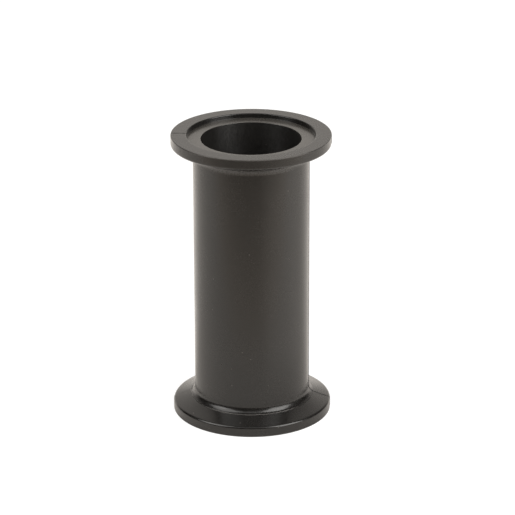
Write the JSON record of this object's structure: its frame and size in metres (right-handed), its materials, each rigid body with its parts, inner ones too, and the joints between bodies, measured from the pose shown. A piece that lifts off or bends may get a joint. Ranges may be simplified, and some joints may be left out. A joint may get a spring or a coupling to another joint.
{
  "type": "flanged pipe",
  "caption": "Straight black plastic pipe with a clamp flange and a gasket recess at each end, for coupling to flanges of the same kind with a V-section clamp.",
  "frame": {"origin": "centre of the lower end face, on which the part stands", "axes": "+Z along the bore, from the lower end face to the upper one; the part is round about Z, so +X is free, and -Y is the side shown in the picture"},
  "size_m": [0.0832, 0.0832, 0.1524],
  "materials": {
    "moulded_plastic": "satin, faintly grained as moulded"
  },
  "bodies": {
    "root": {"flanged_pipe": "moulded_plastic"}
  },
  "joints": []
}
